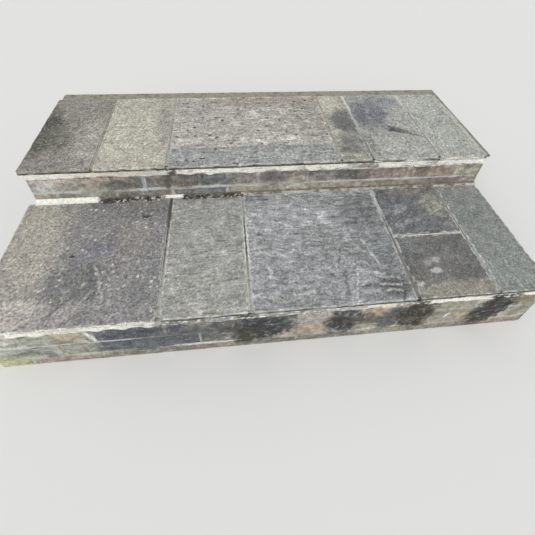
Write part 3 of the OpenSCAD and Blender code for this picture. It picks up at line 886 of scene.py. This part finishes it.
UPPER_FRONT_STAINS = [
    (-870, 330, 50, 60, BLOOM, 0.5), (-790, 350, 150, 14, (0.56, 0.48, 0.39), 0.8),
    (115, 256, 62, 30, (0.56, 0.545, 0.45), 0.8), (230, 262, 50, 24, (0.42, 0.38, 0.33), 0.6),
    (510, 258, 100, 30, (0.23, 0.205, 0.185), 0.5), (770, 262, 130, 30, (0.19, 0.16, 0.14), 0.6),
    (-800, 310, 60, 26, (0.4, 0.34, 0.31), 0.5), (-640, 345, 110, 22, (0.42, 0.33, 0.26), 0.6),
    (-560, 318, 120, 34, (0.13, 0.13, 0.12), 0.7), (-406, 330, 16, 50, (0.08, 0.075, 0.06), 0.8),
    (-500, 312, 8, 46, (0.66, 0.71, 0.78), 0.6), (-490, 289, 55, 7, (0.68, 0.73, 0.8), 0.75),
    (-340, 330, 60, 40, (0.14, 0.125, 0.1), 0.7), (-250, 325, 80, 38, (0.13, 0.14, 0.135), 0.6),
    (-225, 289, 85, 7, BLOOM, 0.9), (-100, 330, 60, 30, (0.3, 0.26, 0.2), 0.5),
    (-38, 335, 8, 34, BLOOM, 0.8), (30, 330, 80, 34, (0.12, 0.115, 0.13), 0.7),
    (160, 345, 90, 18, (0.14, 0.13, 0.12), 0.6), (350, 335, 60, 42, (0.1, 0.1, 0.1), 0.75),
    (420, 330, 34, 50, (0.11, 0.1, 0.095), 0.7), (690, 340, 36, 50, (0.12, 0.1, 0.1), 0.6),
    (-850, 289, 110, 8, BLOOM, 0.7), (540, 289, 400, 4.5, BLOOM, 0.9),
    (60, 252, 240, 16, (0.3, 0.27, 0.22), 0.5), (560, 358, 420, 7, CREAM, 0.95),
    (-60, 358, 200, 4, CREAM, 0.8),
]


def side_tone(number):
    """The tone of a brick on the sides or the back, duller than the front's."""
    tone = list(BRICK_TONES.values())[number % len(BRICK_TONES)]
    return (np.array(tone) + UNSEEN_TONE) / 2


def front_stained(tones, points, stains, seed):
    """Tones of a piece with the stains of its riser, which lie on its foremost part only."""
    if not stains:
        return tones
    tones = np.array(tones)
    front = points[:, 1] < points[:, 1].min() + 60
    tones[front] = stained(tones[front], points[front][:, [0, 2]], stains, seed, 34, (1.2, 0.68))
    return tones


def weathered(tones, points, stains):
    """Soot, smears and bloom that run across bricks and joints alike."""
    tones = tones * np.clip(1 + 0.45 * layers(points, (55, 55, 30), 905, 4), 0.35, 1.8)[:, None]
    for weather in WEATHER:
        tones = patchy(tones, points, *weather)
    return front_stained(tones, points, stains, 900)


def brick(form, corners, tone, stains, seed, shown):
    """One brick with its own tone and the stains of its riser."""
    step = np.full(3, FRONT_STEP if FRONT in shown else OTHER_STEP)
    if len(shown) == 1:
        step[shown[0][0]] = HIDDEN_STEP
    rough = [(1.4, 46), (1.2, 15), (0.8, 6)]
    points, faces = block(*corners, step, BRICK_ARRIS, rough, seed, BRICK_DEEPEST, shown)
    tones = plain(np.array(tone) * (0.9 + 0.2 * lattice(np.array([[0]]), seed)), points)
    tones = tones * (1 + 0.22 * layers(points, 60, seed + 1, 3))[:, None]
    form.add(points, faces, weathered(tones, points, stains))


JOINT_TONE = (0.50, 0.49, 0.43)
JOINT_DIRT = (0.17, 0.16, 0.13)
JOINT_DEEPEST = 2.4
JOINT_INSET = 0.3
JOINT_REACH = 3.5
RING_WIDTH = 30


def joint_tones(points, stains):
    """The tones of a brick joint: pale where it is whole, dirty elsewhere, and weathered."""
    tones = plain(JOINT_TONE, points) * (1 + 0.3 * layers(points, 40, 205, 3))[:, None]
    tones = patchy(tones, points, JOINT_DIRT, 0.75, 0.0, 0.45, (60, 60, 24), 206, 3)
    return weathered(tones, points, stains)


def perpend(form, corners, stains, seed, side):
    """The mortar of one upright joint, just behind the bricks' face, which fills their worn edges."""
    inset, step = np.array((-JOINT_REACH, -JOINT_REACH, 0)), np.array((3, 3, 4))
    inset[side[0]], step[side[0]] = JOINT_INSET, HIDDEN_STEP
    rough = [(2.2, 26), (1.4, 7)]
    low, high = corners[0] + inset, corners[1] - inset
    points, faces = block(low, high, step, 0.5, rough, int(seed), JOINT_DEEPEST, (side,))
    form.add(points, faces, joint_tones(points, stains))


def bed_joint(tier, node, stains, seed):
    """The level joint between two courses, as a closed ring."""
    low, high = span(f"{tier}_back_courses")
    low[1] = span(f"{tier}_front_course_1")[0][1]
    foot, top = span(node)[0][2] - JOINT_REACH, span(node)[1][2] + JOINT_REACH
    heights = ticks(foot + JOINT_INSET, top - JOINT_INSET, 3)
    rough = [(2.2, 34), (1.6, 8)]
    points, faces = ring(low + JOINT_INSET, high - JOINT_INSET, heights, JOINT_INSET, RING_WIDTH,
                         (4, 9, 9, 8), rough, seed, JOINT_DEEPEST)
    Form().add(points, faces, joint_tones(points, stains)).piece(node + "_mortar", JOINT_MORTAR, node)


def on_side(low, high, side, start, end, deep):
    """The corners of a brick or joint on one side of a course, from start to end along it."""
    low, high = low.copy(), high.copy()
    axis, at_end = side
    if at_end:
        low[axis] = high[axis] - deep
    else:
        high[axis] = low[axis] + deep
    low[1 - axis], high[1 - axis] = start, end
    return low, high


def tier_of_bricks(tier, bond, tones, stains, seed):
    """All courses of one step, as separate bricks, and the upright joints between them."""
    forms = {name: Form() for name in ("left", "right", "back")}
    upright = Form()
    for k, first in enumerate(bond):
        node = f"{tier}_front_course_{k + 1}"
        low, high = span(node)
        high[1] = span(f"{tier}_back_courses")[1][1]
        run = front_bricks(high[0] - low[0], first)
        deep = [BRICK_LENGTH if end - start <= BRICK_WIDTH else BRICK_WIDTH for start, end in run]
        front = Form()
        front_tones = [BRICK_TONES[tone] for tone in tones[k].split()]
        for form, side, own_stains, number in ((front, FRONT, stains, 0), (forms["back"], BACK, [], 50)):
            for i, (start, end) in enumerate(run):
                own = seed + 100 * k + i + number
                tone = front_tones[i] if side == FRONT else side_tone(own * 7)
                shown = {0: (side, RIGHT), len(run) - 1: (side, LEFT)}.get(i, (side,))
                corners = on_side(low, high, side, high[0] - end, high[0] - start, deep[i])
                brick(form, corners, tone, own_stains, own, shown)
            for (_, end), (start, _) in zip(run[:-1], run[1:]):
                corners = on_side(low, high, side, high[0] - start, high[0] - end, BRICK_WIDTH)
                perpend(upright, corners, own_stains, seed + end, side)
        front.piece(f"{tier}_front_bricks_{k + 1}", BRICK, node)
        for name, side, depth, number in (("right", RIGHT, deep[0], 1050), ("left", LEFT, deep[-1], 1000)):
            inner = side_bricks(low[1] + depth, high[1] - depth)
            for i, (start, end) in enumerate(inner):
                own = seed + 100 * k + i + number
                corners = on_side(low, high, side, start, end, BRICK_WIDTH)
                brick(forms[name], corners, side_tone(own * 5), [], own, (side,))
            ends = [low[1] + depth, *itertools.chain(*inner), high[1] - depth]
            for start, end in zip(ends[::2], ends[1::2]):
                perpend(upright, on_side(low, high, side, start, end, BRICK_WIDTH), [], seed + start, side)
    for name, form in forms.items():
        form.piece(f"{tier}_{name}_bricks", BRICK, f"{tier}_{name}_courses")
    upright.piece(f"{tier}_upright_joints", JOINT_MORTAR)


# Mortar

BED_DEPTH = 60
BED_ARRIS = 2.6
BED_RECESS = 1
FLECK = (0.84, 0.845, 0.82)
BED_DIRT = (0.20, 0.18, 0.13)

# Stains on the front of each bed, in X and Z
LOWER_BED_STAINS = [
    (-690, 205, 70, 60, (0.55, 0.45, 0.34), 0.6), (-470, 205, 60, 60, (0.62, 0.62, 0.56), 0.6),
    (-330, 205, 90, 60, (0.15, 0.148, 0.135), 0.95), (-215, 205, 44, 60, (0.2, 0.215, 0.25), 0.9),
    (-128, 205, 46, 60, (0.06, 0.055, 0.045), 0.97), (45, 205, 130, 60, (0.22, 0.225, 0.21), 0.9),
    (238, 205, 70, 60, (0.36, 0.355, 0.33), 0.85), (350, 205, 46, 60, (0.76, 0.71, 0.52), 0.85),
    (424, 205, 32, 60, (0.22, 0.21, 0.17), 0.85), (484, 205, 34, 60, (0.07, 0.072, 0.05), 0.95),
    (805, 205, 70, 60, (0.035, 0.035, 0.034), 0.97),
]
UPPER_BED_STAINS = [
    (-690, 375, 70, 60, (0.76, 0.66, 0.5), 0.5), (-560, 375, 100, 60, (0.62, 0.52, 0.42), 0.7),
    (-440, 372, 40, 60, (0.55, 0.54, 0.48), 0.7), (-385, 372, 20, 60, (0.06, 0.055, 0.045), 0.95),
    (430, 375, 36, 60, (0.2, 0.19, 0.17), 0.85), (372, 375, 34, 60, (0.3, 0.3, 0.28), 0.7),
    (700, 375, 30, 60, (0.36, 0.35, 0.32), 0.8),
]


def bed(tier, stains, seed):
    """The bed under the flags: an edge that splays out from the bricks, and a plain middle."""
    low, high = span(f"{tier}_bed")
    setback = span(f"{tier}_front_course_1")[0][:2] + BED_RECESS - low[:2]
    heights = ticks(low[2] + BED_ARRIS, high[2] - BED_ARRIS, 3.2)
    rough = [(3.4, 24), (1.8, 8), (0.8, 4)]
    points, faces = ring(low, high, heights, BED_ARRIS, BED_DEPTH, (4, 9, 9, 7), rough, seed, 4)
    rise = (points[:, 2] - low[2]) / (high[2] - low[2])
    back = smooth(0.3, -0.12, rise + 0.24 * noise(points, 38, seed + 22))[:, None]
    points[:, :2] += setback * (back * np.clip(1 - (points[:, :2] - low[:2]) / BED_DEPTH, 0, 1))
    if tier == "lower":
        # Under the upper riser the bed ends at the foot of the bricks
        above = span("upper_front_course_1")[0]
        under = (points[:, 0] > above[0] + 1) & (points[:, 1] > above[1])
        points[under, 2] = low[2] + (above[2] - low[2]) * rise[under]
    tones = front_stained(plain(CREAM, points), points, stains, seed + 20)
    tones = patchy(tones, points, FLECK, 0.9, 0.1, 0.3, (16, 16, 9), seed + 23, 3)
    tones = patchy(tones, points, BED_DIRT, 0.55, 0.2, 0.6, (34, 34, 14), seed + 21, 4)
    inner = np.array((BED_DEPTH, BED_DEPTH, 0))
    form = Form().add(points, faces, tones)
    form.add(*block(low + inner, high - inner, 200, 1, [], seed), CREAM)
    form.piece(f"{tier}_bed_mortar", CREAM_MORTAR, f"{tier}_bed")


# How far the pointing reaches under the flags beside it, and its tones
SEAT = 4
PALE = (0.60, 0.60, 0.56)
DARK = (0.07, 0.068, 0.06)
GRIME = (0.10, 0.095, 0.08)


def joint_strip(form, low, high, along, edge, centre, front_end, back_end, seed):
    """Pointing between two flags: a sunken strip with its own tone at the edges and the centre.

    along is the axis that the joint runs along, and it turns to a tone of its own at each end.
    """
    across = 1 - along
    step = np.array((0, 0, 12.0))
    step[along], step[across] = 4, 1.6
    points, faces = block(low, high, step, 0.8, [(1.4, 20), (0.9, 5)], seed, shown=(TOP, FRONT))
    reach = (high[across] - low[across]) / 2 - SEAT
    off = np.abs(points[:, across] - (low[across] + high[across]) / 2) / reach
    tones = mix(plain(centre, points), edge, smooth(0.3, 0.7, off + 0.3 * noise(points, 14, seed + 3)))
    place = (points[:, along] - low[along]) / (high[along] - low[along]) + 0.12 * noise(points, 60, seed + 4)
    tones = mix(tones, front_end, 0.8 * smooth(0.45, 0.15, place))
    tones = mix(tones, back_end, 0.8 * smooth(0.6, 0.85, place))
    form.add(points, faces, patchy(tones, points, GRIME, 0.6, 0.2, 0.7, 22, seed + 5, 3))


def pointing(tier, joints, extra=()):
    """All joints of a tread.

    A joint is (flag on the left, flag on the right, edge, centre, front end, back end), and an extra
    one is (low corner, high corner, edge, centre, left end, right end).
    """
    form = Form()
    low, high = span(f"{tier}_pointing")
    for k, (left, right, *tones) in enumerate(joints):
        a, b = span(f"{tier}_flag_{left}")[1], span(f"{tier}_flag_{right}")
        start = (a[0] - SEAT, low[1], low[2])
        joint_strip(form, start, (b[0][0] + SEAT, max(a[1], b[1][1]), high[2]), 1, *tones, 300 + k)
    for k, (start, end, *tones) in enumerate(extra):
        joint_strip(form, start, end, 0, *tones, 350 + k)
    form.piece(f"{tier}_pointing_mortar", JOINT_MORTAR, f"{tier}_pointing")


STRIP_DIRT = (0.12, 0.105, 0.08)
END_JOINT_TONE = (0.30, 0.31, 0.25)


def strip(name, tone, stains, step, seed):
    """A mortar strip along an edge of the upper tread, with the dirt that has gathered on it."""
    points, faces = block(*span(name), step, 2.0, [(2.4, 30), (1.6, 9)], seed)
    tones = stained(plain(tone, points), points[:, :2], stains, seed + 1)
    tones = patchy(tones, points, STRIP_DIRT, 0.6, 0.0, 0.6, 26, seed + 2, 4)
    Form().add(points, faces, tones).piece(name + "_finish", SOILED_MORTAR, name)


def end_joint(node, stains, seed):
    """The upright mortar joint at the right end of a riser."""
    points, faces = block(*span(node), (3, 10, 5), 1.0, [(1.6, 22), (1.0, 6)], seed)
    tones = weathered(plain(END_JOINT_TONE, points), points, stains)
    Form().add(points, faces, tones).piece(node + "_mortar", JOINT_MORTAR, node)


FILLET_WIDTH = 18
FILLET_HEIGHT = 16
# Clean stretches of the fillet: start, end and share of the full size
FILLET_CLEAN = ((-950, -690, 1), (-432, -352, 0.55))
FILLET_TONE = (0.93, 0.915, 0.84)
FILLET_DIRT = (0.17, 0.155, 0.13)
RED_DIRT = (0.33, 0.26, 0.22)
CHALK = (0.62, 0.60, 0.55)


def fillet_worn(along):
    """How far the fillet is worn away to dirt, from 0 along its clean stretches to 1, and its size."""
    worn, size = 1, 1
    for start, end, share in FILLET_CLEAN:
        clean = smooth(start - 9, start + 9, along) * smooth(end + 9, end - 9, along)
        worn = worn - clean
        size = size - clean * (1 - share)
    return worn, size


def fillet():
    """The hollow fillet at the foot of the upper riser, which is clean only in places."""
    low, high = span("riser_fillet")
    tread = high[2] - FILLET_HEIGHT
    xs = ticks(low[0], high[0], 4)
    along = beside(xs, 0)
    worn, size = fillet_worn(xs)
    narrowed = worn * (0.25 + 0.25 * noise(along, 36, 401)) + 0.06 * noise(along, 17, 402)
    width = np.minimum(FILLET_WIDTH * size * (1 - narrowed), FILLET_WIDTH)
    height = FILLET_HEIGHT * size * (0.94 - worn * (0.3 + 0.3 * noise(along, 28, 403)))
    height = np.minimum(height, FILLET_HEIGHT)

    # Each cross-section: the hollow face, from its foot up, and the two corners behind it
    turns = np.radians(np.linspace(0, 90, 9))
    inset = np.column_stack([width[:, None] * (1 - np.sin(turns)), np.zeros(len(xs)), width])
    rise = tread + height[:, None] * (1 - np.cos(turns))
    rise = np.column_stack([rise, np.full((len(xs), 2), low[2])])
    points = np.stack([np.broadcast_to(xs[:, None], rise.shape), high[1] - inset, rise], axis=-1)
    grid = np.arange(rise.size).reshape(rise.shape)
    points = points.reshape(-1, 3)
    lump = 0.8 * noise(points, 12, 404) + 0.5 * noise(points, 5, 405)
    shown = (grid % grid.shape[1] < len(turns)).ravel() & (points[:, 1] < high[1] - 0.5)
    points[:, 2] -= np.where(shown, np.clip(0.8 + lump, 0, 2), 0)
    faces = [*quads(grid, 1).tolist(), grid[0].tolist(), grid[-1, ::-1].tolist()]

    worn = fillet_worn(points[:, 0] + 6 * noise(points, 14, 406))[0]
    dirt = mix(plain(FILLET_DIRT, points), RED_DIRT, smooth(0, 0.6, noise(points, 17, 407)))
    whole = smooth(-520, -440, points[:, 0] + 30 * noise(points, 40, 410))
    line = smooth(4, 1.2, points[:, 2] - tread) * smooth(-0.35, 0.3, noise(points, 26, 409)) * whole
    pale = np.maximum(line, smooth(0.4, 0.65, layers(points, (22, 10, 10), 408, 3)))
    tones = mix(plain(FILLET_TONE, points), mix(dirt, CHALK, 0.9 * pale), worn)
    Form().add(points, faces, tones).piece("riser_fillet_mortar", CREAM_MORTAR, "riser_fillet")


# Lumps of dirt on the middle upper flag, and how far the worn fillet's crumbs spread
UPPER_CRUMBS = [(-123, 364), (-242, 265), (-127, 134), (-259, 21), (-179, 305), (-14, 113), (216, 228),
                (107, 275), (-328, 228), (55, 433), (237, 477), (-205, 330), (-90, 350), (-300, 250)]
CRUMB_RUN = (-688, -95)
CRUMB_COUNT = 240
CRUMB_TONES = ((0.05, 0.045, 0.04), (0.07, 0.063, 0.055), (0.12, 0.108, 0.095), (0.24, 0.20, 0.175), CHALK)


def crumbs():
    """Loose lumps of dirt and stone chips: a few on the upper tread, and most along the worn fillet."""
    form = Form()
    upper, tread = span("upper_flag_3")[1][2], span("lower_flag_1")[1][2]
    riser = span("riser_fillet")[1][1]
    picks = lattice(np.arange(CRUMB_COUNT * 5)[:, None], 480).reshape(-1, 5)
    places = [(x, y, upper - 0.2, 6 + 5 * pick[0], pick) for (x, y), pick in zip(UPPER_CRUMBS, picks)]
    for pick in picks:
        along = CRUMB_RUN[0] + (CRUMB_RUN[1] - CRUMB_RUN[0]) * pick[0]
        if fillet_worn(along)[0] >= 0.5:
            size = 4 + 7 * pick[2] ** 2
            height = tread + size * 0.6 + 5 * (1 - pick[1])
            places.append((along, riser - 5 - 17 * pick[1], height, size, pick))
    for k, (x, y, z, size, pick) in enumerate(places):
        half = size * np.array([0.5 + 0.5 * pick[3], 0.4 + 0.3 * pick[4], 0.4])
        middle = np.array([x, y, z - half[2]])
        rough = [(size / 4, size)]
        points, faces = block(middle - half, middle + half, size, 0.45 * min(half), rough, 490 + k)
        dark = 0 if k < len(UPPER_CRUMBS) else int(pick[4] * 4.999)
        form.add(points, faces, CRUMB_TONES[dark])
    form.piece("loose_crumbs", SOILED_MORTAR)


# The whole object


def steps():
    """All the pieces of the two steps."""
    for tier, base in (("lower", 10), ("upper", 60)):
        for k in range(6):
            flag(f"{tier}_flag_{k + 1}", base + 5 * k)
    tier_of_bricks("lower", LOWER_BOND, LOWER_FRONT_TONES, LOWER_FRONT_STAINS, 2000)
    tier_of_bricks("upper", UPPER_BOND, UPPER_FRONT_TONES, UPPER_FRONT_STAINS, 5000)
    bed_joint("lower", "lower_joint_1", LOWER_FRONT_STAINS, 210)
    bed_joint("lower", "lower_joint_2", LOWER_FRONT_STAINS, 220)
    bed_joint("upper", "upper_joint", UPPER_FRONT_STAINS, 230)
    bed("lower", LOWER_BED_STAINS, 240)
    bed("upper", UPPER_BED_STAINS, 260)
    low, high = span("lower_pointing")
    four, five = span("lower_flag_4"), span("lower_flag_5")
    cross = ((four[0][0] - SEAT, five[1][1] - SEAT, low[2]), (four[1][0] + SEAT, four[0][1] + SEAT, high[2]))
    foot = ((span("upper_front_course_1")[0][0], four[1][1] - SEAT, low[2]), tuple(high))
    pointing("lower", (
        (1, 2, (0.45, 0.44, 0.41), DARK, (0.50, 0.50, 0.47), DARK),
        (2, 3, (0.80, 0.80, 0.77), (0.08, 0.08, 0.075), (0.50, 0.50, 0.48), (0.46, 0.46, 0.44)),
        (3, 5, (0.44, 0.44, 0.43), (0.13, 0.13, 0.125), (0.22, 0.22, 0.21), (0.70, 0.71, 0.68)),
        (5, 6, (0.60, 0.61, 0.58), (0.14, 0.14, 0.13), (0.46, 0.46, 0.42), (0.30, 0.31, 0.28)),
    ), (
        (*cross, (0.17, 0.17, 0.17), (0.90, 0.90, 0.86), PALE, PALE),
        (*foot, DARK, DARK, DARK, DARK),
    ))
    pointing("upper", (
        (1, 2, (0.46, 0.45, 0.39), (0.24, 0.23, 0.20), (0.40, 0.39, 0.34), (0.44, 0.43, 0.37)),
        (2, 3, (0.55, 0.54, 0.51), (0.22, 0.21, 0.19), (0.45, 0.44, 0.40), (0.46, 0.45, 0.42)),
        (3, 4, (0.42, 0.40, 0.35), (0.40, 0.38, 0.33), (0.40, 0.40, 0.36), (0.42, 0.40, 0.34)),
        (4, 5, (0.58, 0.58, 0.56), (0.40, 0.40, 0.38), (0.20, 0.20, 0.19), (0.84, 0.84, 0.80)),
        (5, 6, (0.62, 0.62, 0.59), (0.17, 0.17, 0.16), (0.36, 0.37, 0.34), (0.74, 0.74, 0.71)),
    ))
    strip("side_strip", (0.29, 0.30, 0.235), [(941, 260, 10, 330, (0.66, 0.66, 0.61), 0.9)], (4, 5, 8), 420)
    strip("back_strip", (0.36, 0.335, 0.275), [], (6, 6, 8), 430)
    fillet()
    crumbs()
    end_joint("lower_end_joint", LOWER_FRONT_STAINS, 440)
    end_joint("upper_end_joint", UPPER_FRONT_STAINS, 450)
    for name in ("lower_core", "upper_core"):
        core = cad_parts[name]
        core.data.materials.clear()
        core.data.materials.append(fill_material())


def camera():
    """The camera at the photograph's place and angle."""
    made = bpy.data.objects.new("camera", bpy.data.cameras.new("camera"))
    placed = Matrix.Translation(CAMERA_PLACE)
    for degrees, axis in ((-CAMERA_YAW, "Z"), (90 - CAMERA_PITCH, "X"), (-CAMERA_ROLL, "Z")):
        placed = placed @ Matrix.Rotation(math.radians(degrees), 4, axis)
    made.matrix_world = placed
    made.data.sensor_width = CAMERA_SENSOR
    made.data.lens = CAMERA_LENS
    made.data.shift_x, made.data.shift_y = CAMERA_SHIFT
    bpy.context.scene.collection.objects.link(made)
    bpy.context.scene.camera = made


FLOOR_SIZE = 14
FLOOR_COLOUR = (0.82, 0.82, 0.81, 1)
SKY_STRENGTH = 0.55
SUN_PLACE = (-1.3, -3.0, 2.8)
SUN_STRENGTH = 1.75
SUN_WIDTH = 50


def floor():
    """A plain pale floor."""
    bpy.ops.mesh.primitive_plane_add(size=FLOOR_SIZE)
    made = bpy.context.object
    made.name = "floor"
    material = bpy.data.materials.new("pale_floor")
    n = Nodes(material)
    n.feed(n.tree.nodes["Principled BSDF"], {"Base Color": FLOOR_COLOUR, "Roughness": 0.95})
    made.data.materials.append(material)


def sky():
    """Even white light from all round, which the camera and reflections see as white."""
    world = bpy.data.worlds.new("sky")
    bpy.context.scene.world = world
    n = Nodes(world)
    rays = n.add("ShaderNodeLightPath").outputs
    seen = n.maths("MAXIMUM", rays["Is Glossy Ray"], rays["Is Transmission Ray"])
    strength = n.ramp(n.maths("MAXIMUM", rays["Is Camera Ray"], seen), 0, 1, SKY_STRENGTH, 1)
    n.feed(n.tree.nodes["Background"], {"Color": (1, 1, 1, 1), "Strength": strength})


def sun():
    """Soft, even light from one side, as from a very large lamp a long way off."""
    data = bpy.data.lights.new("key_light", "SUN")
    data.energy = SUN_STRENGTH
    data.angle = math.radians(SUN_WIDTH)
    made = bpy.data.objects.new("key_light", data)
    made.rotation_euler = Vector(SUN_PLACE).to_track_quat("Z", "Y").to_euler()
    bpy.context.scene.collection.objects.link(made)


camera()
floor()
sky()
sun()
steps()

bpy.context.scene.view_settings.view_transform = "Standard"
